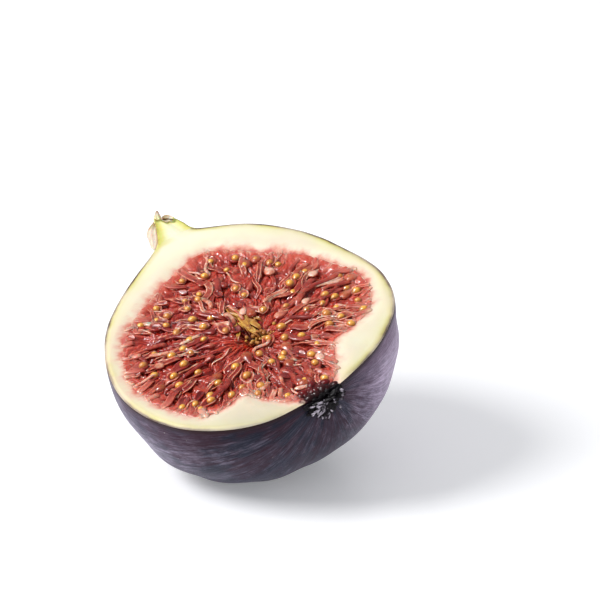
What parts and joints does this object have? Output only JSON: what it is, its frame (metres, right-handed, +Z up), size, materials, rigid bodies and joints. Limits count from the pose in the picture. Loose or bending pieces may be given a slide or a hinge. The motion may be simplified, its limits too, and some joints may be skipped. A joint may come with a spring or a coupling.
{
  "type": "fresh fig half",
  "caption": "Half of a fresh fig cut from eye to stalk, resting on its skin with the seedy pulp facing up.",
  "frame": {"origin": "middle of the small flat of skin that the half fig rests on", "axes": "+Z up, away from the surface it rests on; the core runs from the eye to the stalk along +Y, and rises 10 degrees towards +Y; the cut face looks up and leans towards -X"},
  "size_m": [0.0521, 0.0705, 0.0348],
  "materials": {
    "rind_skin": "dark blue-purple skin with a dull bloom; the cut edge is cream flesh",
    "pulp_flesh": "wet glossy red pulp with golden seeds",
    "eye_black": "near-black dry scales",
    "stalk_green": "yellow-green dry stalk stub"
  },
  "bodies": {
    "root": {"rind": "rind_skin", "pulp": "pulp_flesh", "eye_scales": "eye_black", "stalk": "stalk_green"}
  },
  "joints": []
}
